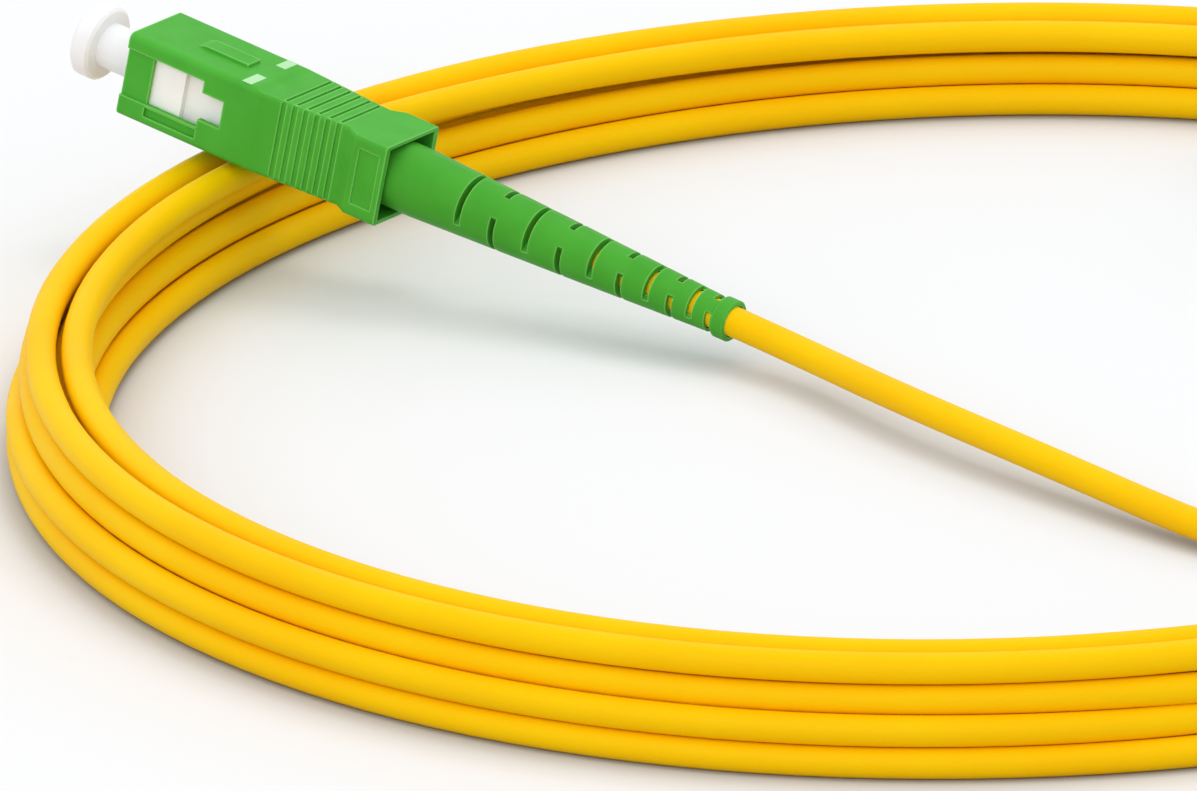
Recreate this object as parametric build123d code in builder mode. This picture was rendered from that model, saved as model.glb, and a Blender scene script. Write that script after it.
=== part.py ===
"""Simplex fibre optic patch cable, millimetres, +Z up.

One round jacketed cable is wound in a level coil whose centre, on the floor, is the origin.
Each end carries a square push-pull plug with an angled ferrule, a slotted boot and a dust cap.
Plug a lies across the coil with its nose up; plug b lies flat on the floor inside the coil.
"""

import os
from math import cos, pi, radians, sin, tan

from build123d import *

# Cable section
jacket_diameter = 2.8
jacket_bore = 1.9
fibre_diameter = 0.9
yarn_gap = 0.05

# Coil of stacked turns, drawn as one ring of their outline
coil_inner_radius = 78.7
coil_width = 9.8
coil_height = 10.2
coil_inner_slope = 0.9
coil_outer_slope = 2.3
coil_bottom_chamfer = 0.8
coil_top_chamfer = 1.6

# Plug shell, the piece that a hand grips
shell_length = 28.7
shell_width = 8.4
shell_height = 8.1
shell_side_wall = 0.6
shell_top_wall = 0.65
shell_edge_rounding = 0.6
hollow_end_gap = 0.2
passage_clearance = 0.1
pocket_depth = 3.8
pocket_top_wall = 0.35

# Grip waist of the shell
grip_step = 0.15
grip_step_length = 0.8
waist_length = 9.3
waist_depth = 0.85
flare_length = 1.3
rear_block_length = 3.5
groove_count = 6
groove_pitch = 1.15
groove_setback = 2.5
top_groove_width = 0.36
top_groove_depth = 0.2
top_groove_margin = 0.35
side_groove_width = 0.5
side_groove_depth = 0.15

# Side windows, nose columns and rails of the shell
column_width = 2.85
column_set_back = 0.3
window_sill = -2.0
window_head = 2.6
window_length = 5.7
step_sill = -1.2
step_head = 1.45
step_length = 2.4
rail_slot_low = -3.15
rail_slot_high = -2.25
rail_slot_depth = 0.35
panel_margin = 0.65
panel_low = -2.65
panel_high = 2.75
panel_depth = 0.12

# Key rib on top of the shell
key_start = 5.2
key_length = 5.7
key_width = 1.95
key_height = 0.3
key_ramp = 0.9

# Plug frame inside the shell
frame_front = 0.6
frame_length = 16.9
frame_clearance = 0.2
frame_side_clearance = 0.15
latch_shoulder = 6.2
latch_recess_length = 4.8
latch_recess_depth = 0.6
frame_bore_radius = 2.45
frame_edge_rounding = 0.3
web_start = 6.5
web_thickness = 0.8

# Ferrule and its metal flange
ferrule_diameter = 2.5
ferrule_length = 10.5
ferrule_tip = -1.0
ferrule_travel = 1.0
ferrule_chamfer = 0.35
polish_angle = 8.0
web_hole_clearance = 0.2
flange_radius = 2.3
flange_thickness = 1.65
flange_notch_count = 4
flange_notch_width = 0.6
flange_notch_depth = 0.45
hub_radius = 1.6
hub_length = 0.9
flange_tube_radius = 1.1
flange_tube_end = 13.4
fibre_clearance = 0.05

# Spring behind the flange
spring_wire = 0.34
spring_mean_radius = 1.95
spring_turns = 5.5
spring_wire_sides = 6
spring_end_gap = 0.05

# Stop body that closes the frame
stop_front = 14.9
stop_collar_length = 1.5
stop_collar_radius = 2.85
stop_clearance = 0.1
post_radius = 1.75
post_length = 5.2
post_ring_count = 4
post_ring_depth = 0.12
post_ring_width = 0.4

# Guide tube, yarn and crimp sleeve
guide_tube_wall = 0.4
guide_tube_gap = 0.2
guide_tube_clearance = 0.1
yarn_thickness = 0.16
jacket_set_back = 0.65
sleeve_wall = 0.4
sleeve_step = 1.0
sleeve_tail = 4.2
sleeve_gap = 0.1

# Strain relief boot; the grip slides back over its neck by its travel
grip_travel = 1.8
boot_neck_radius = 2.8
boot_shoulder_gap = 0.2
boot_radius = 3.2
boot_full_length = 1.9
boot_length = 36.4
boot_gap = 0.2
boot_knee = 18.5
boot_knee_radius = 2.5
boot_tip_radius = 1.75
boot_collar_radius = 1.95
boot_collar_length = 1.5
boot_collar_chamfer = 0.15
boot_bore_clearance = 0.1
slot_places = (7.75, 11.33, 15.02, 18.51, 21.94, 25.02, 27.94, 30.4, 32.56, 34.5)
slot_width = 0.6
bridge_share = 0.8
slot_turn = 45.0

# Dust cap
cap_head_radius = 3.5
cap_head_length = 2.05
cap_neck = 4.5
cap_stem_radius = 2.12
cap_insertion = 5.6
cap_bore_clearance = 0.05
cap_bore_end = -2.0
cap_chamfer = 0.3
cap_dimple_radius = 2.3
cap_dimple_depth = 0.4

# Plug a rests on the coil's top: where its underside does so, seen from the coil's centre and from its nose
rest_angle = 144.97
rest_inset = 4.28
rest_lift = 0.8
rest_along = 10.0
heading_a = -34.4
dip_a = 11.5
lean_a = 3.8

# Plug b lies on the floor inside the coil
nose_angle_b = 63.74
nose_inset_b = 11.0
heading_b = -52.0

# Free stretches of the cable after the boots, as (distance outside the coil's inner radius, angle, height);
# each first point is worked out on the plug's own axis and each last one lies inside the coil
route_inside_boot = 5.0
route_a = [
    (-70.28, 159.84, 1.5),
    (-66.05, -71.57, 1.4),
    (-33.5, -57.93, 1.4),
    (-16.65, -46.89, 1.4),
    (-4.45, -33.8, 1.4),
    (1.93, -19.94, 1.4),
    (1.45, -8.83, 1.4),
]
route_a_lead = 5.0
route_b = [
    (-0.76, -7.37, 5.9),
    (2.16, -18.01, 8.2),
    (2.51, -28.46, 9.0),
]
route_b_lead = 6.0
bend_share = 0.45

os.makedirs("parts", exist_ok=True)

coil_outer_radius = coil_inner_radius + coil_width
waist_end = shell_length - rear_block_length - flare_length
waist_start = waist_end - waist_length
groove_first = waist_start + groove_setback
panel_start = shell_length - rear_block_length + panel_margin
panel_end = shell_length - panel_margin
ferrule_radius = ferrule_diameter / 2
jacket_radius = jacket_diameter / 2
fibre_radius = fibre_diameter / 2
inner_half_width = shell_width / 2 - shell_side_wall
inner_half_height = shell_height / 2 - shell_top_wall
grip_half_height = shell_height / 2 - grip_step
pocket_half_height = grip_half_height - pocket_top_wall
pocket_start = shell_length - pocket_depth
frame_end = frame_front + frame_length
flange_front = web_start + web_thickness
flange_back = flange_front + flange_thickness
stop_collar_end = frame_end + stop_collar_length
post_end = stop_collar_end + post_length
fibre_bore_radius = fibre_radius + fibre_clearance
stop_bore_radius = fibre_bore_radius + guide_tube_wall + guide_tube_clearance
jacket_front = post_end + jacket_set_back
boot_front = stop_collar_end + boot_gap
boot_shoulder = pocket_start + grip_travel + boot_shoulder_gap
boot_end = shell_length + boot_length
taper_start = shell_length + boot_full_length
knee_place = shell_length + boot_knee
collar_start = boot_end - boot_collar_length
route_start = boot_end - route_inside_boot
sleeve_inner_radius = post_radius + yarn_thickness + yarn_gap
sleeve_radius = sleeve_inner_radius + sleeve_wall
sleeve_end = jacket_front + sleeve_step + sleeve_tail


def polar(radius, angle, height):
    return Vector(radius * cos(radians(angle)), radius * sin(radians(angle)), height)


def plug_seat(underside, along_underside, heading, dip=0.0, lean=0.0):
    """The plug's own frame: x from nose to tail, y across, z towards the key, origin in the nose's middle.
    The plug is placed by a point of its underside and that point's distance from the nose."""
    turn = radians(heading)
    tilt = radians(dip)
    roll = radians(lean)
    along = Vector(cos(tilt) * cos(turn), cos(tilt) * sin(turn), -sin(tilt))
    level_up = Vector(sin(tilt) * cos(turn), sin(tilt) * sin(turn), cos(tilt))
    up = level_up * cos(roll) + level_up.cross(along) * sin(roll)
    nose = underside - along * along_underside + up * (shell_height / 2)
    return Plane(origin=nose, x_dir=along, z_dir=up)


def cross_plane(seat, along):
    """Plane square to the plug's length: its x runs across the plug and its y runs up."""
    return Plane(seat.origin + seat.x_dir * along, x_dir=seat.y_dir, z_dir=seat.x_dir)


def side_plane(seat, across=0.0):
    """Plane along the plug: its x runs to the tail, its y runs up and its normal points to -y."""
    return Plane(seat.origin + seat.y_dir * across, x_dir=seat.x_dir, z_dir=-seat.y_dir)


def plan_plane(seat, height):
    """Plane along the plug, seen from above."""
    return Plane(seat.origin + seat.z_dir * height, x_dir=seat.x_dir, z_dir=seat.z_dir)


def plug_axis(seat):
    return Axis(seat.origin, seat.x_dir)


def turned(seat, outline):
    """Face of an outline of (along, radius) points, to be revolved about the plug's axis."""
    with BuildSketch(side_plane(seat)) as face:
        with BuildLine():
            Polyline(*outline, close=True)
        make_face()
    return face.sketch


def finish(piece, name):
    piece.part.label = name
    export_step(piece.part, f"parts/{name}.step")


def waist_half_width(along):
    """Half width of the shell's grip, which narrows from the waist's start to its end."""
    share = (along - waist_start) / (waist_end - waist_start)
    return shell_width / 2 - waist_depth * max(0.0, min(1.0, share))


def make_shell(seat, name):
    half_width = shell_width / 2
    half_height = shell_height / 2
    with BuildPart() as shell:
        with BuildSketch(plan_plane(seat, -half_height)):
            with BuildLine():
                Polyline(
                    (0, -half_width),
                    (waist_start, -half_width),
                    (waist_end, waist_depth - half_width),
                    (waist_end + flare_length, -half_width),
                    (shell_length, -half_width),
                    (shell_length, 0),
                    (0, 0),
                    close=True,
                )
            make_face()
            mirror(about=Plane.XZ)
        extrude(amount=shell_height)
        for level in (0, -1):
            flat = shell.faces().sort_by(Axis(seat.origin, seat.z_dir))[level]
            ends = flat.edges().filter_by(Axis(seat.origin, seat.y_dir))
            fillet(flat.edges() - ends, shell_edge_rounding)
        # The grip and the rear block are a little lower than the nose
        with BuildSketch(side_plane(seat)):
            with BuildLine():
                Polyline(
                    (waist_start - grip_step_length, half_height),
                    (waist_start, grip_half_height),
                    (shell_length, grip_half_height),
                    (shell_length, half_height),
                    close=True,
                )
            make_face()
            mirror(about=Plane.XZ)
        extrude(amount=shell_width, both=True, mode=Mode.SUBTRACT)
        # Key rib
        with BuildSketch(side_plane(seat)):
            with BuildLine():
                Polyline(
                    (key_start, inner_half_height),
                    (key_start, half_height),
                    (key_start + key_ramp, half_height + key_height),
                    (key_start + key_length, half_height + key_height),
                    (key_start + key_length, inner_half_height),
                    close=True,
                )
            make_face()
        extrude(amount=key_width / 2, both=True)
        # Grooves round the grip, whose places follow the narrowing waist
        for number in range(groove_count):
            place = groove_first + groove_pitch * number
            edge = waist_half_width(place)
            for height in (grip_half_height - top_groove_depth, -grip_half_height):
                with BuildSketch(plan_plane(seat, height)):
                    with Locations((place, 0)):
                        Rectangle(top_groove_width, 2 * (edge - top_groove_margin))
                extrude(amount=top_groove_depth, mode=Mode.SUBTRACT)
            with BuildSketch(plan_plane(seat, -half_height)):
                for side in (1, -1):
                    with Locations((place, side * (edge - side_groove_depth + waist_depth / 2))):
                        Rectangle(side_groove_width, waist_depth)
            extrude(amount=shell_height, mode=Mode.SUBTRACT)
        # Nose columns stand back between the top lip and the bottom rail
        for side in (1, -1):
            with BuildSketch(side_plane(seat, side * half_width)):
                with Locations((column_width / 2, (window_sill + window_head) / 2)):
                    Rectangle(column_width, window_head - window_sill)
            extrude(amount=side * column_set_back, mode=Mode.SUBTRACT)
            # Slot between the rail and the sill
            with BuildSketch(side_plane(seat, side * half_width)):
                with Locations((column_width + window_length / 2, (rail_slot_low + rail_slot_high) / 2)):
                    Rectangle(window_length, rail_slot_high - rail_slot_low)
            extrude(amount=side * rail_slot_depth, mode=Mode.SUBTRACT)
            # Shallow bare panel on the rear block
            with BuildSketch(side_plane(seat, side * half_width)):
                with Locations(((panel_start + panel_end) / 2, (panel_low + panel_high) / 2)):
                    Rectangle(panel_end - panel_start, panel_high - panel_low)
            extrude(amount=side * panel_depth, mode=Mode.SUBTRACT)
        # Hollow for the plug frame, round passage for the collar and pocket for the boot
        with BuildSketch(cross_plane(seat, 0)):
            Rectangle(2 * inner_half_width, 2 * inner_half_height)
        extrude(amount=frame_end + hollow_end_gap, mode=Mode.SUBTRACT)
        with BuildSketch(cross_plane(seat, 0)):
            Circle(stop_collar_radius + passage_clearance)
        extrude(amount=shell_length, mode=Mode.SUBTRACT)
        with BuildSketch(cross_plane(seat, pocket_start)):
            Rectangle(2 * inner_half_width, 2 * pocket_half_height)
        extrude(amount=pocket_depth, mode=Mode.SUBTRACT)
        # Stepped windows through both sides
        window_end = column_width + window_length
        with BuildSketch(side_plane(seat, shell_width)):
            with BuildLine():
                Polyline(
                    (column_width, window_sill),
                    (window_end, window_sill),
                    (window_end, step_sill),
                    (window_end + step_length, step_sill),
                    (window_end + step_length, step_head),
                    (window_end, step_head),
                    (window_end, window_head),
                    (column_width, window_head),
                    close=True,
                )
            make_face()
        extrude(amount=2 * shell_width, mode=Mode.SUBTRACT)
    finish(shell, name)


def make_frame(seat, name):
    half_width = inner_half_width - frame_side_clearance
    half_height = inner_half_height - frame_clearance
    recess_end = latch_shoulder + latch_recess_length
    with BuildPart() as frame:
        with BuildSketch(cross_plane(seat, frame_front)):
            RectangleRounded(2 * half_width, 2 * half_height, frame_edge_rounding)
        extrude(amount=frame_length)
        # Latch recesses, where the adapter's two hooks drop in behind the shoulders
        for side in (1, -1):
            with BuildSketch(side_plane(seat, side * half_width)):
                with Locations(((latch_shoulder + recess_end) / 2, 0)):
                    Rectangle(latch_recess_length, 2 * half_height)
            extrude(amount=side * latch_recess_depth, mode=Mode.SUBTRACT)
        # Front bore round the ferrule and rear chamber, parted by the web that the flange seats on
        with BuildSketch(cross_plane(seat, frame_front)):
            Circle(frame_bore_radius)
        extrude(amount=web_start - frame_front, mode=Mode.SUBTRACT)
        with BuildSketch(cross_plane(seat, flange_front)):
            Circle(frame_bore_radius)
        extrude(amount=frame_end - flange_front, mode=Mode.SUBTRACT)
        with BuildSketch(cross_plane(seat, web_start)):
            Circle(ferrule_radius + web_hole_clearance)
        extrude(amount=web_thickness, mode=Mode.SUBTRACT)
    finish(frame, name)


def make_ferrule(seat, name):
    back = ferrule_tip + ferrule_length
    with BuildPart() as ferrule:
        profile = turned(
            seat,
            [
                (ferrule_tip, 0),
                (ferrule_tip, ferrule_radius - ferrule_chamfer),
                (ferrule_tip + ferrule_chamfer, ferrule_radius),
                (back, ferrule_radius),
                (back, 0),
            ],
        )
        revolve(profile, axis=plug_axis(seat))
        # Angled polish of the tip
        slope = tan(radians(polish_angle))
        with BuildSketch(side_plane(seat, 2 * ferrule_radius)):
            with BuildLine():
                Polyline(
                    (ferrule_tip - 1, ferrule_diameter),
                    (ferrule_tip + slope * ferrule_radius * 3, ferrule_diameter),
                    (ferrule_tip - slope * ferrule_radius, -ferrule_diameter),
                    (ferrule_tip - 1, -ferrule_diameter),
                    close=True,
                )
            make_face()
        extrude(amount=4 * ferrule_radius, mode=Mode.SUBTRACT)
    finish(ferrule, name)


def make_flange(seat, name):
    cup_end = ferrule_tip + ferrule_length
    hub_end = flange_back + hub_length
    with BuildPart() as flange:
        profile = turned(
            seat,
            [
                (flange_front, ferrule_radius),
                (flange_front, flange_radius),
                (flange_back, flange_radius),
                (flange_back, hub_radius),
                (hub_end, hub_radius),
                (hub_end, flange_tube_radius),
                (flange_tube_end, flange_tube_radius),
                (flange_tube_end, fibre_bore_radius),
                (cup_end, fibre_bore_radius),
                (cup_end, ferrule_radius),
            ],
        )
        revolve(profile, axis=plug_axis(seat))
        # Keying notches in the rim
        with BuildSketch(cross_plane(seat, flange_front)):
            with PolarLocations(flange_radius - flange_notch_depth / 2, flange_notch_count):
                Rectangle(flange_notch_depth * 1.4, flange_notch_width)
        extrude(amount=flange_thickness, mode=Mode.SUBTRACT)
    finish(flange, name)


def make_spring(seat, name):
    start = flange_back + spring_end_gap + spring_wire / 2
    height = stop_front - spring_end_gap - spring_wire / 2 - start
    with BuildPart() as spring:
        with BuildLine():
            coil_line = Helix(
                pitch=height / spring_turns,
                height=height,
                radius=spring_mean_radius,
                center=seat.origin + seat.x_dir * start,
                direction=seat.x_dir,
            )
        with BuildSketch(Plane(coil_line @ 0, z_dir=coil_line % 0)):
            RegularPolygon(spring_wire / 2, spring_wire_sides)
        sweep(is_frenet=True)
    finish(spring, name)


def make_stop_body(seat, name):
    front_radius = frame_bore_radius - stop_clearance
    with BuildPart() as stop_body:
        profile = turned(
            seat,
            [
                (stop_front, stop_bore_radius),
                (stop_front, front_radius),
                (frame_end, front_radius),
                (frame_end, stop_collar_radius),
                (stop_collar_end, stop_collar_radius),
                (stop_collar_end, post_radius),
                (post_end, post_radius),
                (post_end, stop_bore_radius),
            ],
        )
        revolve(profile, axis=plug_axis(seat))
        # Rings that bite into the yarn
        ring_pitch = post_length / (post_ring_count + 1)
        for number in range(post_ring_count):
            ring_start = stop_collar_end + ring_pitch * (number + 1) - post_ring_width / 2
            with BuildSketch(cross_plane(seat, ring_start)):
                Circle(post_radius + post_ring_depth)
                Circle(post_radius - post_ring_depth, mode=Mode.SUBTRACT)
            extrude(amount=post_ring_width, mode=Mode.SUBTRACT)
    finish(stop_body, name)


def make_guide_tube(seat, name):
    start = flange_tube_end + ferrule_travel + guide_tube_gap
    with BuildPart() as guide_tube:
        with BuildSketch(cross_plane(seat, start)):
            Circle(fibre_bore_radius + guide_tube_wall)
            Circle(fibre_bore_radius, mode=Mode.SUBTRACT)
        extrude(amount=post_end - start)
    finish(guide_tube, name)


def make_crimp_sleeve(seat, name):
    front = stop_collar_end + sleeve_gap
    step_start = jacket_front
    step_end = step_start + sleeve_step
    with BuildPart() as sleeve:
        profile = turned(
            seat,
            [
                (front, sleeve_inner_radius),
                (front, sleeve_radius),
                (step_start, sleeve_radius),
                (step_end, jacket_radius + sleeve_wall),
                (sleeve_end, jacket_radius + sleeve_wall),
                (sleeve_end, jacket_radius),
                (step_end, jacket_radius),
                (step_start, sleeve_inner_radius),
            ],
        )
        revolve(profile, axis=plug_axis(seat))
    finish(sleeve, name)


def make_yarn(seat, name):
    """Strength yarn: drawn from the jacket, spread over the post's end and clamped round the post."""
    front = stop_collar_end + 2 * sleeve_gap
    over_post = post_radius + yarn_gap / 2
    outside = over_post + yarn_thickness
    by_fibre = fibre_radius + yarn_gap
    in_jacket = jacket_bore / 2 - yarn_gap / 2
    fold_start = post_end + yarn_gap
    fold_end = jacket_front - yarn_gap
    with BuildPart() as yarn:
        profile = turned(
            seat,
            [
                (front, over_post),
                (front, outside),
                (fold_end, outside),
                (fold_end, in_jacket),
                (route_start, in_jacket),
                (route_start, by_fibre),
                (fold_start, by_fibre),
                (fold_start, over_post),
            ],
        )
        revolve(profile, axis=plug_axis(seat))
    finish(yarn, name)


def make_fibre(seat, name):
    start = ferrule_tip + ferrule_length + ferrule_travel + fibre_clearance
    with BuildPart() as fibre:
        with BuildSketch(cross_plane(seat, start)):
            Circle(fibre_radius)
        extrude(amount=route_start - start)
    finish(fibre, name)


def make_jacket_end(seat, name):
    with BuildPart() as jacket:
        with BuildSketch(cross_plane(seat, jacket_front)):
            Circle(jacket_radius)
            Circle(jacket_bore / 2, mode=Mode.SUBTRACT)
        extrude(amount=route_start - jacket_front)
    finish(jacket, name)


def boot_radius_at(along):
    """Outer radius of the boot's taper, which runs from the shell to a knee and on to the collar."""
    if along < knee_place:
        share = (along - taper_start) / (knee_place - taper_start)
        return boot_radius + (boot_knee_radius - boot_radius) * share
    share = (along - knee_place) / (collar_start - knee_place)
    return boot_knee_radius + (boot_tip_radius - boot_knee_radius) * share


def make_boot(seat, name):
    """Tapered boot; pairs of slots that turn a quarter from ring to ring let it bend."""
    bore = jacket_radius + boot_bore_clearance
    with BuildPart() as boot:
        with BuildSketch(side_plane(seat)):
            with BuildLine():
                Polyline(
                    (boot_front, sleeve_radius),
                    (boot_front, boot_neck_radius),
                    (boot_shoulder, boot_neck_radius),
                    (boot_shoulder, boot_radius),
                    (taper_start, boot_radius),
                    (knee_place, boot_knee_radius),
                    (collar_start, boot_tip_radius),
                    (collar_start + boot_collar_chamfer, boot_collar_radius),
                    (boot_end - boot_collar_chamfer, boot_collar_radius),
                    (boot_end, boot_collar_radius - boot_collar_chamfer),
                    (boot_end, bore),
                    (sleeve_end + sleeve_gap, bore),
                    (sleeve_end + sleeve_gap, sleeve_radius),
                    close=True,
                )
            make_face()
        revolve(axis=plug_axis(seat))
        for number, place in enumerate(slot_places):
            turn = slot_turn + 90 * (number % 2)
            bridge = bridge_share * boot_radius_at(shell_length + place)
            with BuildSketch(cross_plane(seat, shell_length + place - slot_width / 2)):
                Circle(boot_radius)
                Rectangle(2 * boot_radius, bridge, rotation=turn, mode=Mode.SUBTRACT)
            extrude(amount=slot_width, mode=Mode.SUBTRACT)
    finish(boot, name)


def make_dust_cap(seat, name):
    head_back = -cap_neck
    head_front = head_back - cap_head_length
    bore = ferrule_radius + cap_bore_clearance
    with BuildPart() as cap:
        profile = turned(
            seat,
            [
                (head_front + cap_dimple_depth, 0),
                (head_front + cap_dimple_depth, cap_dimple_radius),
                (head_front, cap_dimple_radius),
                (head_front, cap_head_radius - cap_chamfer),
                (head_front + cap_chamfer, cap_head_radius),
                (head_back - cap_chamfer, cap_head_radius),
                (head_back, cap_head_radius - cap_chamfer),
                (head_back, cap_stem_radius),
                (cap_insertion, cap_stem_radius),
                (cap_insertion, bore),
                (cap_bore_end, bore),
                (cap_bore_end, 0),
            ],
        )
        revolve(profile, axis=plug_axis(seat))
    finish(cap, name)


def bend_radii(points):
    """Bend radius at each inner point: its share of the shorter run over the tangent of half the turn."""
    radii = []
    for before, here, after in zip(points, points[1:], points[2:]):
        run_in = here - before
        run_out = after - here
        half_turn = radians(run_in.get_angle(run_out)) / 2
        radii.append(bend_share * min(run_in.length, run_out.length) / tan(half_turn))
    return radii


def make_free_cable(seat, lead, route, name):
    """Plain round tube from inside the boot to inside the coil."""
    start = seat.origin + seat.x_dir * route_start
    first = seat.origin + seat.x_dir * (boot_end + lead)
    points = [start, first]
    for outside, angle, height in route:
        points.append(polar(coil_inner_radius + outside, angle, height))
    radii = bend_radii(points)
    with BuildPart() as tube:
        with BuildLine():
            path = FilletPolyline(*points, radius=radii)
        with BuildSketch(Plane(path @ 0, z_dir=path % 0)):
            Circle(jacket_radius)
        sweep()
    section = pi * jacket_radius**2
    volume_ratio = tube.part.volume / (section * path.length)
    print(name, "bend radii", [round(radius, 1) for radius in radii])
    print(name, "least bend radius in diameters", round(min(radii) / jacket_diameter, 1))
    print(name, "length", round(path.length, 2), "volume over section times length", round(volume_ratio, 5))
    finish(tube, name)


def make_coil(name):
    with BuildPart() as coil:
        with BuildSketch(Plane.XZ) as outline:
            with BuildLine():
                Polyline(
                    (coil_inner_radius, 0),
                    (coil_outer_radius, 0),
                    (coil_outer_radius - coil_outer_slope, coil_height),
                    (coil_inner_radius + coil_inner_slope, coil_height),
                    close=True,
                )
            make_face()
            chamfer(outline.vertices().group_by(Axis.Y)[0], coil_bottom_chamfer)
            chamfer(outline.vertices().group_by(Axis.Y)[-1], coil_top_chamfer)
        revolve(axis=Axis.Z)
    finish(coil, name)


rest_point = polar(coil_inner_radius + rest_inset, rest_angle, coil_height + rest_lift)
floor_point = polar(coil_inner_radius - nose_inset_b, nose_angle_b, 0)
seats = {
    "a": plug_seat(rest_point, rest_along, heading_a, dip_a, lean_a),
    "b": plug_seat(floor_point, 0, heading_b),
}
for end, seat in seats.items():
    make_dust_cap(seat, f"dust_cap_{end}")
    make_shell(seat, f"outer_housing_{end}")
    make_frame(seat, f"plug_frame_{end}")
    make_ferrule(seat, f"ferrule_{end}")
    make_flange(seat, f"ferrule_flange_{end}")
    make_spring(seat, f"ferrule_spring_{end}")
    make_stop_body(seat, f"stop_body_{end}")
    make_guide_tube(seat, f"guide_tube_{end}")
    make_crimp_sleeve(seat, f"crimp_sleeve_{end}")
    make_yarn(seat, f"aramid_yarn_{end}")
    make_fibre(seat, f"buffered_fibre_{end}")
    make_jacket_end(seat, f"jacket_end_{end}")
    make_boot(seat, f"boot_{end}")

make_coil("cable_coil")
make_free_cable(seats["a"], route_a_lead, route_a, "cable_tail_a")
make_free_cable(seats["b"], route_b_lead, route_b, "cable_tail_b")
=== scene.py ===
"""Simplex fibre optic patch cable: looks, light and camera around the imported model. Metres."""

import math

import bpy
import numpy as np
from mathutils import Matrix, Vector


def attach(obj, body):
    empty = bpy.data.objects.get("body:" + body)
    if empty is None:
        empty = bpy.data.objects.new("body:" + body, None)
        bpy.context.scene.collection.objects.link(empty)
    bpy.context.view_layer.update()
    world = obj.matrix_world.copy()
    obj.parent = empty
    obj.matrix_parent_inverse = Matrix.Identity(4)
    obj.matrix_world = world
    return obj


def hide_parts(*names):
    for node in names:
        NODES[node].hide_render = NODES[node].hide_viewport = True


MM = 0.001
CABLE = 2.8
PLUG_HEIGHT = 8.1
PLUG_LENGTH = 65.1
FLOOR_Z = CABLE / 2  # A strand's middle when it lies on the floor

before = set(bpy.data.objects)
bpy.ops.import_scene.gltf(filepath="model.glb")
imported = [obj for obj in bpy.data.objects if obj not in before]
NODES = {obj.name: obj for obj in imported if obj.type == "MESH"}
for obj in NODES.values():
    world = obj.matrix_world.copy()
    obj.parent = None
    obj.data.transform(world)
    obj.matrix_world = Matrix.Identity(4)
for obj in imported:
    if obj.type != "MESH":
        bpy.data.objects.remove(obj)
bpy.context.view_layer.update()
CORE = "cable_and_plug_cores"
scene = bpy.context.scene


# Where the plugs lie: millimetres, as in the model's source

def polar(radius, angle, height):
    turn = math.radians(angle)
    return Vector((radius * math.cos(turn), radius * math.sin(turn), height))


def plug_matrix(underside, along_underside, heading, dip=0.0, lean=0.0):
    """The plug's own frame: x from nose to tail, z towards the key, origin in the nose's middle.

    The point underside is on the middle line of its underside, along_underside behind the nose.
    """
    turn, tilt, roll = math.radians(heading), math.radians(dip), math.radians(lean)
    along = Vector((
        math.cos(tilt) * math.cos(turn), math.cos(tilt) * math.sin(turn), -math.sin(tilt),
    ))
    level_up = Vector((
        math.sin(tilt) * math.cos(turn), math.sin(tilt) * math.sin(turn), math.cos(tilt),
    ))
    up = level_up * math.cos(roll) + level_up.cross(along) * math.sin(roll)
    across = up.cross(along)
    nose = underside - along * along_underside + up * PLUG_HEIGHT / 2
    matrix = Matrix((along, across, up)).transposed().to_4x4()
    matrix.translation = nose
    return matrix


PLUGS = {
    "a": plug_matrix(
        underside=polar(82.98, 144.97, 11.0), along_underside=10.0, heading=-34.4, dip=11.5, lean=3.8,
    ),
    "b": plug_matrix(underside=polar(67.7, 63.74, 0.0), along_underside=0.0, heading=-52.0),
}


# Camera: a long lens, and the place of the model's origin in the photograph

PHOTO_SIZE = (1197, 791)
ORIGIN_PIXEL = (989.0, 423.7)
PIXELS_PER_MM = 11.2
ELEVATION = 20.68
CAMERA_ROLL = 1.40
CAMERA_DISTANCE = 3.1
SENSOR_WIDTH = 36.0


def aim_camera():
    elevation, roll = math.radians(ELEVATION), math.radians(CAMERA_ROLL)
    centre_u = ORIGIN_PIXEL[0] - PHOTO_SIZE[0] / 2
    centre_v = ORIGIN_PIXEL[1] - PHOTO_SIZE[1] / 2
    lens_pixels = PIXELS_PER_MM / MM * CAMERA_DISTANCE
    right = Vector((1, 0, 0))
    up = Vector((0, math.sin(elevation), math.cos(elevation)))
    forward = Vector((0, math.cos(elevation), -math.sin(elevation)))
    x = -centre_u * math.cos(roll) + centre_v * math.sin(roll)
    y = centre_u * math.sin(roll) + centre_v * math.cos(roll)
    view = (forward * lens_pixels + right * x + up * y).normalized()
    side = view.cross(right * math.sin(roll) + up * math.cos(roll)).normalized()
    top = side.cross(view).normalized()
    data = bpy.data.cameras.new("camera")
    data.sensor_width = SENSOR_WIDTH
    data.lens = lens_pixels * SENSOR_WIDTH / PHOTO_SIZE[0]
    data.clip_end = 50.0
    camera = bpy.data.objects.new("camera", data)
    matrix = Matrix((side, top, -view)).transposed().to_4x4()
    matrix.translation = -forward * CAMERA_DISTANCE
    camera.matrix_world = matrix
    scene.collection.objects.link(camera)
    scene.camera = camera


# The cord: tail a, the coil's turns and tail b, as one spline, in millimetres

TURN_POINTS = 24
LAST_ANGLE = 8 * 360 + 300
INNER_RADIUS = 80.0
# Where the tails run between the coil and the boots
ROUTE_A = [
    (-7.9, -2.6, 3.6), (4.0, -16.5, 3.1), (24.0, -38.3, 1.4),
    (42.4, -45.3, 1.4), (61.7, -41.3, 1.4), (75.8, -27.5, 1.4),
]
ROUTE_B = [(71.4, -38.7, 9.0), (76.9, -25.0, 8.2), (77.3, -10.0, 5.9)]
INSIDE_BOOT = -5.0
BEHIND_BOOT = {"a": 5.0, "b": 6.0}
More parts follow.
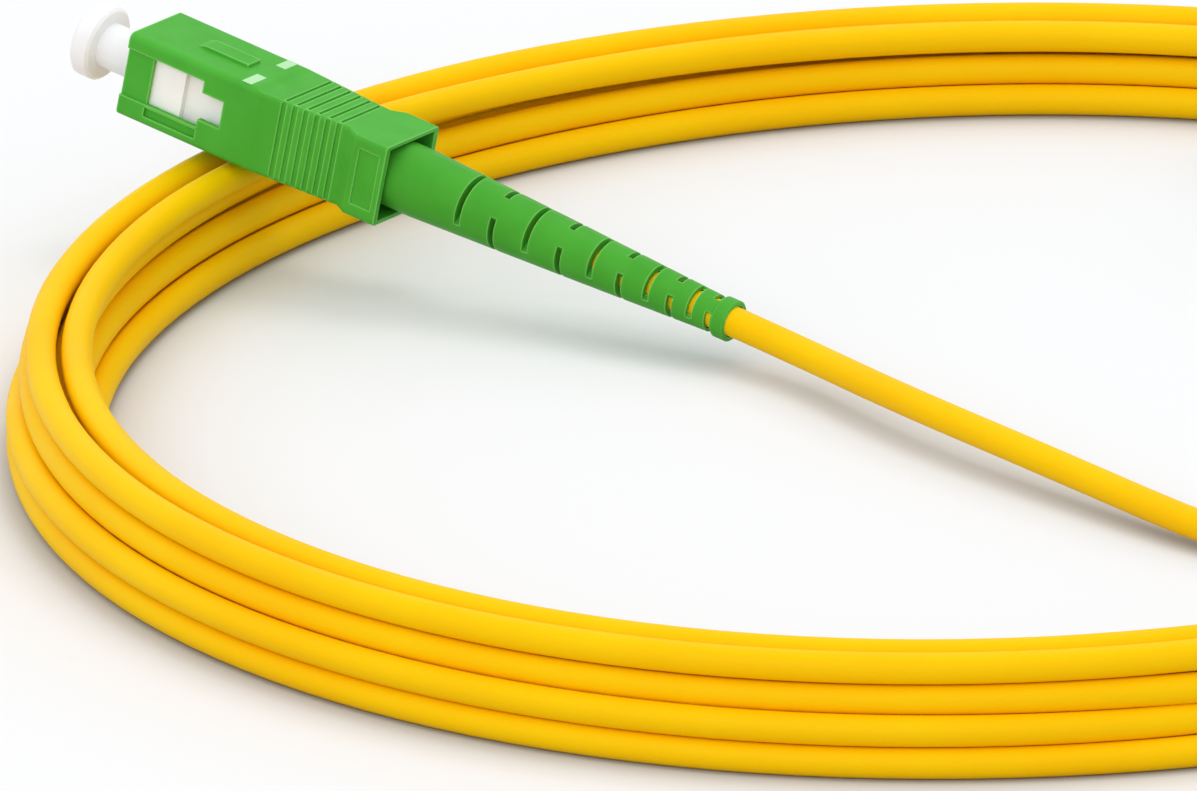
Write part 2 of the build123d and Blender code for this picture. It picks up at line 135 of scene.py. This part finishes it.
# Slots of the nine turns in the coil's section, as (radius, height), at the angles
# where the photograph shows them
FRONT = [
    (80.9, 1.4), (84.0, 1.4), (87.0, 1.4), (84.85, 6.3), (86.8, 4.25),
    (82.5, 3.8), (82.0, 6.55), (84.8, 9.28), (82.0, 9.4),
]
LEFT = [
    (80.5, 1.4), (83.6, 1.4), (86.5, 1.4), (84.9, 6.4), (86.6, 4.2),
    (82.2, 3.8), (81.9, 6.6), (84.4, 9.2), (81.1, 9.1),
]
LEFT_BACK = [
    (80.3, 1.4), (83.4, 1.4), (86.2, 1.4), (85.0, 6.4), (86.4, 4.15),
    (82.0, 3.8), (82.0, 6.6), (84.5, 9.15), (81.3, 9.0),
]
UNDER_PLUG = [
    (80.2, 1.4), (83.0, 1.4), (85.8, 1.4), (85.9, 5.6), (84.6, 3.75),
    (81.8, 3.83), (82.9, 6.62), (84.7, 8.8), (81.5, 8.95),
]
BACK_LEFT = [
    (80.1, 1.4), (82.9, 1.4), (85.7, 1.4), (86.6, 4.0), (84.1, 3.83),
    (81.4, 3.83), (83.9, 6.65), (86.4, 7.25), (81.3, 7.2),
]
BACK = [
    (80.1, 1.4), (83.0, 1.4), (87.2, 1.4), (88.4, 3.95), (85.6, 3.7),
    (81.5, 3.83), (84.0, 5.95), (87.0, 6.75), (81.4, 7.0),
]
SECTIONS = [
    (77, BACK), (90, BACK), (115, BACK_LEFT), (150, UNDER_PLUG),
    (175, LEFT_BACK), (215, LEFT), (255, FRONT), (284, FRONT),
]
# Angles between which each turn crosses over to the next one's slot, right of the picture
CROSSINGS = [
    (322, 344), (314, 336), (304, 326), (284, 312),
    (284, 312), (284, 312), (284, 312), (312, 360),
]
# Four middle strands roll round this point while they cross: its radius and height, their
# distance from it, their first angles, and the angles over which they settle at the back
ROLL_CENTRE = (83.9, 5.2)
ROLL_RADIUS = 2.03
ROLL_ANGLES = {5: 225, 6: 135, 3: 45, 4: 315}
SETTLE_START, SETTLE_LENGTH = 308, 37
# How the strands are pressed apart: spare room between two, rounds, pushes in each round,
# and the shares by which a round draws points back to their slots and evens the cord out
SPARE_ROOM = 0.04
ROUNDS = 300
PUSHES = 5
DRAW_BACK = 0.12
EVEN_OUT = 0.3


def ease(value):
    value = min(max(value, 0.0), 1.0)
    return value * value * (3 - 2 * value)


def between(first, second, share):
    return tuple(a * (1 - share) + b * share for a, b in zip(first, second))


def on_roll(angle):
    """The point of the rolling circle at an angle in radians, as (radius, height)."""
    radius, height = ROLL_CENTRE
    return radius + ROLL_RADIUS * math.cos(angle), height + ROLL_RADIUS * math.sin(angle)


def crossing_slot(turn, angle):
    if turn == len(CROSSINGS):
        return FRONT[turn]
    start, end = CROSSINGS[turn]
    share = ease((angle - start) / (end - start))
    if turn in ROLL_ANGLES:
        # They turn by a quarter from their slots in front, then settle into those at the back
        first = math.radians(ROLL_ANGLES[turn])
        rolled, rolled_first = on_roll(first - share * math.pi / 2), on_roll(first)
        rolled = tuple(r + (f - b) * (1 - share) for r, f, b in zip(rolled, FRONT[turn], rolled_first))
        return between(rolled, BACK[turn + 1], ease((angle - SETTLE_START) / SETTLE_LENGTH))
    return between(FRONT[turn], BACK[turn + 1], share)


def slot_at(turn, angle):
    if angle < SECTIONS[0][0]:
        return BACK[turn]
    for (low, first), (high, second) in zip(SECTIONS, SECTIONS[1:]):
        if angle <= high:
            return between(first[turn], second[turn], ease((angle - low) / (high - low)))
    return crossing_slot(turn, angle)


def press_apart(place, groups):
    """Push strands apart that are too near, and keep all over the floor and past the inner radius."""
    least = CABLE + SPARE_ROOM
    for group in groups:
        for n, a in enumerate(group):
            for b in group[n + 1:]:
                gap = place[b] - place[a]
                length = max(float(np.hypot(gap[0], gap[1])), 1e-6)
                if length < least:
                    push = gap / length * (least - length) / 2
                    place[a] -= push
                    place[b] += push
    place[:, 1] = np.maximum(place[:, 1], FLOOR_Z)
    place[:, 0] = np.maximum(place[:, 0], INNER_RADIUS)


def coil_points():
    """The turns' points, pressed apart until no two strands share room."""
    step = 360 / TURN_POINTS
    angles = np.arange(0, LAST_ANGLE + 1, step)
    wanted = np.array([slot_at(int(a // 360), a % 360) for a in angles])
    place = wanted.copy()
    keys = np.round(angles / step).astype(int) % TURN_POINTS
    groups = [np.where(keys == k)[0] for k in range(TURN_POINTS)]
    for _ in range(ROUNDS):
        place += DRAW_BACK * (wanted - place)
        smooth = place.copy()
        smooth[1:-1] = (place[:-2] + place[2:] + 2 * place[1:-1]) / 4
        place = (1 - EVEN_OUT) * place + EVEN_OUT * smooth
        for _ in range(PUSHES):
            press_apart(place, groups)
    # A quadratic spline cuts inside a ring of points, so the ring is drawn wider by that much
    widen = 1 / (0.75 + 0.25 * math.cos(math.radians(step)))
    return [polar(r * widen, a, z) for a, (r, z) in zip(angles, place)]


def boot_exit(end, past):
    return PLUGS[end] @ Vector((PLUG_LENGTH + past, 0, 0))


def make_cord(jacket):
    points = [boot_exit("a", INSIDE_BOOT), boot_exit("a", BEHIND_BOOT["a"])]
    points += [Vector(p) for p in ROUTE_A] + coil_points() + [Vector(p) for p in ROUTE_B]
    points += [boot_exit("b", BEHIND_BOOT["b"]), boot_exit("b", INSIDE_BOOT)]
    curve = bpy.data.curves.new("patch_cable", "CURVE")
    curve.dimensions = "3D"
    curve.resolution_u = 6
    # The points' own radius gives the cable's, so that the object's box has its true size
    curve.bevel_depth = 1.0
    curve.bevel_resolution = 6
    curve.use_fill_caps = True
    curve.twist_mode = "MINIMUM"
    spline = curve.splines.new("NURBS")
    spline.points.add(len(points) - 1)
    for point, place in zip(spline.points, points):
        point.co = (*(place * MM), 1.0)
        point.radius = CABLE / 2 * MM
    spline.order_u = 3
    spline.use_endpoint_u = True
    cord = bpy.data.objects.new("patch_cable", curve)
    scene.collection.objects.link(cord)
    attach(cord, CORE)
    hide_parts("cable_coil", "cable_tail_a", "cable_tail_b")
    cord.data.materials.append(jacket)


# White paint strokes on top of each housing, one each side behind the key: where each starts
# along the plug, and its lowest and highest place across
STROKES = {"near": (12.2, -3.85, -1.35), "far": (12.1, 1.75, 3.8)}
STROKE_WIDTH = 1.05
STROKE_ROWS, STROKE_COLUMNS = 8, 3
PAINT_LIFT, PAINT_THICKNESS = 0.012, 0.02


def make_marks(end, paint):
    height = PLUG_HEIGHT / 2 + PAINT_LIFT
    row = STROKE_COLUMNS + 1
    starts = [n * row + m for n in range(STROKE_ROWS) for m in range(STROKE_COLUMNS)]
    faces = [(s, s + 1, s + row + 1, s + row) for s in starts]
    for name, (x, low, high) in STROKES.items():
        across = [low + (high - low) * n / STROKE_ROWS for n in range(STROKE_ROWS + 1)]
        along = [x + STROKE_WIDTH * m / STROKE_COLUMNS for m in range(row)]
        corners = [PLUGS[end] @ Vector((a, c, height)) * MM for c in across for a in along]
        mesh = bpy.data.meshes.new(f"mark_{name}_{end}")
        mesh.from_pydata(corners, [], faces)
        mark = bpy.data.objects.new(f"mark_{name}_{end}", mesh)
        scene.collection.objects.link(mark)
        solid = mark.modifiers.new("thickness", "SOLIDIFY")
        solid.thickness = PAINT_THICKNESS * MM
        solid.offset = -1.0
        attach(mark, f"grip_{end}")
        mark.data.materials.append(paint)


# Materials: a noise's scale is its number of waves to a metre, so 260 makes patches of 4 mm

EDGE_SAMPLES = 6


def srgb(red, green, blue):
    def linear(value):
        value /= 255
        return value / 12.92 if value <= 0.04045 else ((value + 0.055) / 1.055) ** 2.4
    return (linear(red), linear(green), linear(blue), 1.0)


def shaded(colour, share):
    return tuple(c * share for c in colour[:3]) + (1.0,)


class Shader:
    """A material made of nodes, with helpers to add to it."""

    def __init__(self, name, **values):
        self.material = bpy.data.materials.new(name)
        self.material.use_nodes = True
        self.tree = self.material.node_tree
        self.bsdf = self.tree.nodes["Principled BSDF"]
        for key, value in values.items():
            self.bsdf.inputs[key.replace("_", " ")].default_value = value
        self.coords = self.tree.nodes.new("ShaderNodeTexCoord").outputs["Object"]

    def node(self, kind, **values):
        made = self.tree.nodes.new(kind)
        for key, value in values.items():
            if hasattr(made, key):
                setattr(made, key, value)
            else:
                made.inputs[key].default_value = value
        return made

    def link(self, source, target):
        self.tree.links.new(source, target)

    def noise(self, scale, detail=3.0, rough=0.5, coords=None):
        made = self.node("ShaderNodeTexNoise", Scale=scale, Detail=detail, Roughness=rough)
        self.link(coords or self.coords, made.inputs["Vector"])
        return made.outputs["Fac"]

    def spread(self, value, low, high, out_low, out_high):
        made = self.node("ShaderNodeMapRange")
        sockets = ("From Min", "From Max", "To Min", "To Max")
        for socket, number in zip(sockets, (low, high, out_low, out_high)):
            made.inputs[socket].default_value = number
        self.link(value, made.inputs["Value"])
        return made.outputs["Result"]

    def patches(self, scale):
        """Soft patches between 0 and 1."""
        return self.spread(self.noise(scale, 2), 0.35, 0.65, 0, 1)

    def uneven_roughness(self, scale, low, high):
        self.link(self.spread(self.noise(scale, 3), 0.3, 0.7, low, high), self.bsdf.inputs["Roughness"])

    def glow_through(self, weight, radius, scale):
        """Light that spreads under the surface, by colour, over a length."""
        self.bsdf.inputs["Subsurface Weight"].default_value = weight
        self.bsdf.inputs["Subsurface Radius"].default_value = radius
        self.bsdf.inputs["Subsurface Scale"].default_value = scale

    def blend_colours(self, share, first, second, target="Base Color"):
        made = self.node("ShaderNodeMix", data_type="RGBA")
        self.link(share, made.inputs["Factor"])
        for socket, value in (("A_Color", first), ("B_Color", second)):
            found = [s for s in made.inputs if s.identifier == socket][0]
            if isinstance(value, tuple):
                found.default_value = value
            else:
                self.link(value, found)
        result = [s for s in made.outputs if s.identifier == "Result_Color"][0]
        if target:
            self.link(result, self.bsdf.inputs[target])
        return result

    def bump(self, height, distance, strength, normal=None):
        made = self.node("ShaderNodeBump", Distance=distance, Strength=strength)
        self.link(height, made.inputs["Height"])
        if normal is not None:
            self.link(normal, made.inputs["Normal"])
        self.link(made.outputs["Normal"], self.bsdf.inputs["Normal"])

    def soft_edges(self, radius):
        return self.node("ShaderNodeBevel", samples=EDGE_SAMPLES, Radius=radius).outputs["Normal"]

    def nearness(self, distance, inside=False):
        """1 in the open, less near other surfaces, or near an outer edge if inside is set."""
        made = self.node("ShaderNodeAmbientOcclusion", inside=inside, samples=EDGE_SAMPLES)
        made.inputs["Distance"].default_value = distance
        return made.outputs["AO"]

    def painted_edge_highlight(self, distance):
        """0 on plain faces, more along their outer edges, where a paler colour is painted on as a
        highlight.
        """
        return self.spread(self.nearness(distance, True), 0.95, 0.55, 0.0, 0.8)


def jacket_material():
    m = Shader("jacket_yellow", Roughness=0.5, Specular_IOR_Level=0.06)
    m.blend_colours(m.patches(55), srgb(255, 198, 0), srgb(255, 205, 2))
    m.uneven_roughness(160, 0.42, 0.52)
    m.bump(m.noise(1400, 3, 0.6), 0.04 * MM, 0.5)
    m.glow_through(0.12, (1.0, 0.55, 0.1), 0.6 * MM)
    return m.material


def green_plastic(name, light, dark, rough, edge, grain):
    """Moulded plastic, with the radius of its edges and the depth of its grain."""
    m = Shader(name, Roughness=rough, Specular_IOR_Level=0.08)
    body = m.blend_colours(m.patches(260), dark, light, None)
    rounded = m.soft_edges(edge)
    # Painted highlight: a paler green along the outer edges, in place of light caught there
    m.blend_colours(m.painted_edge_highlight(edge * 1.5), body, srgb(140, 224, 116))
    m.uneven_roughness(420, rough - 0.05, rough + 0.07)
    m.bump(m.noise(2600, 2, 0.6), grain, 0.5, rounded)
    m.glow_through(0.08, (0.3, 1.0, 0.25), 0.5 * MM)
    return m.material


def white_plastic(name, colour, rough, glow, edge=0.06 * MM):
    m = Shader(name, Roughness=rough, Specular_IOR_Level=0.5)
    m.blend_colours(m.patches(300), shaded(colour, 0.96), colour)
    m.bump(m.noise(1800, 2, 0.6), 0.02 * MM, 0.4, m.soft_edges(edge))
    m.glow_through(glow, (1.0, 1.0, 1.1), 1.5 * MM)
    return m.material


def metal(name, colour, rough):
    m = Shader(name, Roughness=rough, Metallic=1.0)
    shares = m.spread(m.noise(700, 3), 0.3, 0.7, 0, 1)
    m.blend_colours(shares, shaded(colour, 0.85), colour)
    m.bump(m.noise(3000, 2), 0.01 * MM, 0.4)
    return m.material


def yarn_material():
    m = Shader("aramid_yarn", Roughness=0.6)
    stretched = m.node("ShaderNodeMapping", Scale=(1.0, 1.0, 0.15))
    m.link(m.coords, stretched.inputs["Vector"])
    threads = m.noise(5000, 3, 0.6, stretched.outputs["Vector"])
    shares = m.spread(threads, 0.35, 0.65, 0, 1)
    m.blend_colours(shares, srgb(196, 160, 60), srgb(240, 214, 120))
    m.bump(threads, 0.08 * MM, 0.7)
    return m.material


def finish_nodes(jacket):
    housing = green_plastic(
        "housing_green", light=srgb(79, 178, 59), dark=srgb(74, 172, 54),
        rough=0.4, edge=0.12 * MM, grain=0.008 * MM,
    )
    boot = green_plastic(
        "boot_green", light=srgb(76, 172, 53), dark=srgb(71, 165, 48),
        rough=0.42, edge=0.1 * MM, grain=0.02 * MM,
    )
    kinds = {
        "outer_housing": housing,
        "boot": boot,
        "plug_frame": white_plastic("frame_white", srgb(254, 254, 255), rough=0.35, glow=0.0),
        "dust_cap": white_plastic("cap_white", srgb(250, 250, 255), rough=0.32, glow=0.5, edge=0.12 * MM),
        "ferrule": white_plastic("ceramic_white", srgb(242, 241, 236), rough=0.12, glow=0.1),
        "ferrule_flange": metal("flange_metal", srgb(190, 190, 192), rough=0.3),
        "ferrule_spring": metal("spring_metal", srgb(160, 160, 164), rough=0.3),
        "stop_body": metal("stop_body_metal", srgb(186, 186, 188), rough=0.35),
        "crimp_sleeve": metal("crimp_metal", srgb(200, 200, 202), rough=0.4),
        "guide_tube": white_plastic("tube_white", srgb(232, 232, 228), rough=0.4, glow=0.3),
        "aramid_yarn": yarn_material(),
        "buffered_fibre": white_plastic("buffer_white", srgb(238, 238, 232), rough=0.4, glow=0.2),
        "jacket_end": jacket,
    }
    for name, node in NODES.items():
        if name.startswith("cable_"):
            continue
        node.data.materials.clear()
        node.data.materials.append(kinds[name.rsplit("_", 1)[0]])


# Floor, light and surroundings

FLOOR_HALF = 6.0
OPEN_FLOOR = (0.877, 0.887, 0.90, 1.0)
# Painted shadow: the floor's colour close to the cable and plugs
FLOOR_IN_PAINTED_SHADOW = (0.44, 0.46, 0.49, 1.0)
FLOOR_FOR_LIGHT = (0.55, 0.55, 0.57, 1.0)
CONTACT_SHADE = 7 * MM
SOFT_LIGHT = 0.93


def direct_view(tree):
    """1 for rays that come from the camera, a mirror or glass."""
    paths = tree.nodes.new("ShaderNodeLightPath")
    glossy = tree.nodes.new("ShaderNodeMath")
    glossy.operation = "MAXIMUM"
    through = tree.nodes.new("ShaderNodeMath")
    through.operation = "MAXIMUM"
    tree.links.new(paths.outputs["Is Camera Ray"], glossy.inputs[0])
    tree.links.new(paths.outputs["Is Glossy Ray"], glossy.inputs[1])
    tree.links.new(glossy.outputs[0], through.inputs[0])
    tree.links.new(paths.outputs["Is Transmission Ray"], through.inputs[1])
    return through.outputs[0]


def make_floor():
    mesh = bpy.data.meshes.new("floor")
    corners = [(x * FLOOR_HALF, y * FLOOR_HALF, 0) for x, y in ((-1, -1), (1, -1), (1, 1), (-1, 1))]
    mesh.from_pydata(corners, [], [(0, 1, 2, 3)])
    floor = bpy.data.objects.new("floor", mesh)
    scene.collection.objects.link(floor)
    m = Shader("floor_white", Roughness=0.8, Specular_IOR_Level=0.05)
    # Painted shadow: the floor turns grey near the object, within CONTACT_SHADE of it
    openness = m.spread(m.nearness(CONTACT_SHADE), 0.3, 0.9, 0, 1)
    m.blend_colours(openness, FLOOR_IN_PAINTED_SHADOW, OPEN_FLOOR)
    # Rays that light the object meet a greyer floor, so that its undersides stay in shade
    grey = m.node("ShaderNodeBsdfDiffuse", Color=FLOOR_FOR_LIGHT)
    mix = m.node("ShaderNodeMixShader")
    m.link(direct_view(m.tree), mix.inputs["Fac"])
    m.link(grey.outputs["BSDF"], mix.inputs[1])
    m.link(m.bsdf.outputs["BSDF"], mix.inputs[2])
    m.link(mix.outputs["Shader"], m.tree.nodes["Material Output"].inputs["Surface"])
    floor.data.materials.append(m.material)


def area_light(name, place, target, size, power):
    data = bpy.data.lights.new(name, "AREA")
    data.shape = "DISK"
    data.size = size
    data.energy = power
    light = bpy.data.objects.new(name, data)
    light.location = place
    light.visible_camera = False
    light.rotation_euler = (Vector(target) - Vector(place)).to_track_quat("-Z", "Y").to_euler()
    scene.collection.objects.link(light)


def white_background(tree, strength):
    made = tree.nodes.new("ShaderNodeBackground")
    made.inputs["Color"].default_value = (1, 1, 1, 1)
    made.inputs["Strength"].default_value = strength
    return made.outputs[0]


def make_light():
    world = bpy.data.worlds.new("studio")
    world.use_nodes = True
    scene.world = world
    tree = world.node_tree
    tree.nodes.clear()
    out = tree.nodes.new("ShaderNodeOutputWorld")
    mix = tree.nodes.new("ShaderNodeMixShader")
    tree.links.new(direct_view(tree), mix.inputs["Fac"])
    tree.links.new(white_background(tree, SOFT_LIGHT), mix.inputs[1])
    tree.links.new(white_background(tree, 1.0), mix.inputs[2])
    tree.links.new(mix.outputs[0], out.inputs["Surface"])
    area_light("key", place=(0.2, 0.5, 1.3), target=(-0.02, 0.0, 0.0), size=0.6, power=2.6)
    area_light("front", place=(-0.6, -1.3, 0.9), target=(0.0, 0.0, 0.0), size=0.8, power=4.4)


scene.view_settings.view_transform = "Standard"
jacket = jacket_material()
paint = white_plastic("paint_white", srgb(178, 232, 172), rough=0.45, glow=0.0, edge=0.02 * MM)
aim_camera()
make_cord(jacket)
for end in PLUGS:
    make_marks(end, paint)
finish_nodes(jacket)
make_floor()
make_light()

bpy.context.view_layer.update()
